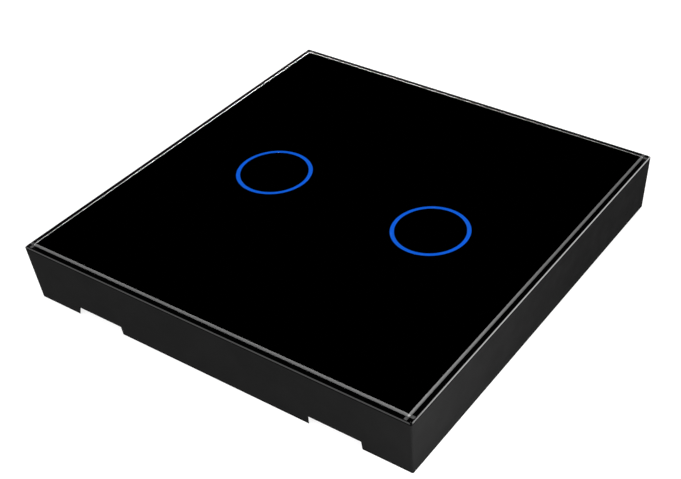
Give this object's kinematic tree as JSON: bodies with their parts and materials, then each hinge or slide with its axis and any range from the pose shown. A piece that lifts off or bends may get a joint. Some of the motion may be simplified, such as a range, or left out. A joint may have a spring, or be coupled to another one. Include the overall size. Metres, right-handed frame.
{
  "type": "wireless touch light switch",
  "caption": "Square wall switch: black glass front with lit touch rings in a tapered housing that clips onto a wall plate over a board and a coin cell.",
  "frame": {"origin": "centre of the back plane, which lies against the wall or the surface it rests on", "axes": "+Z out of the glass, +X along the row of keys, -Y the lower edge with the pry notches"},
  "size_m": [0.086, 0.086, 0.0125],
  "materials": {
    "black_housing": "fine moulded satin, polished on the rim",
    "black_plate": "moulded satin",
    "foam_tape": "matt foam with a paper liner",
    "clear_glass": "polished",
    "black_ink": "glossy print behind glass",
    "clear_tape": "milky",
    "blue_light_guide": "frosted, lit blue",
    "spring_steel": "bright drawn wire",
    "board_laminate": "green solder mask",
    "plated_screw": "bright zinc",
    "lamp_body": "clear resin on a white base",
    "chip_moulding": "matt epoxy with tinned pins",
    "nickel_lid": "plated lid on ceramic",
    "capacitor_moulding": "yellow epoxy",
    "ceramic_chip": "tan ceramic with tinned ends",
    "resistor_chip": "black glaze with tinned ends",
    "copper_wire": "enamelled copper",
    "holder_moulding": "moulded nylon",
    "nickel_contact": "nickel plate",
    "cell_steel": "satin stainless",
    "cell_cap_steel": "satin stainless",
    "gasket_plastic": "nylon"
  },
  "bodies": {
    "wall_bracket": {"wall_plate": "black_plate", "adhesive_pads": "foam_tape"},
    "panel": {"front_shell": "black_housing", "glass_panel": "clear_glass", "ink_mask": "black_ink", "glass_adhesive": "clear_tape", "ring_guide_left": "blue_light_guide", "ring_guide_right": "blue_light_guide", "touch_spring_left": "spring_steel", "touch_spring_right": "spring_steel", "main_board": "board_laminate", "board_screws": "plated_screw", "ring_leds_left": "lamp_body", "ring_leds_right": "lamp_body", "touch_controller": "chip_moulding", "radio_transmitter": "chip_moulding", "crystal": "nickel_lid", "tantalum_capacitor": "capacitor_moulding", "chip_capacitors": "ceramic_chip", "chip_resistors": "resistor_chip", "aerial_coil": "copper_wire", "battery_holder": "holder_moulding", "battery_positive_clip": "nickel_contact", "battery_negative_contact": "nickel_contact"},
    "coin_cell": {"coin_cell_can": "cell_steel", "coin_cell_cap": "cell_cap_steel", "coin_cell_gasket": "gasket_plastic"}
  },
  "joints": [
    {"name": "panel_lift", "type": "slide", "parent": "wall_bracket", "child": "panel", "axis": [0, 0, 1], "range_m": [0, 0.025]},
    {"name": "coin_cell_slide", "type": "slide", "parent": "panel", "child": "coin_cell", "axis": [0, -1, 0], "range_m": [0, 0.018]}
  ]
}
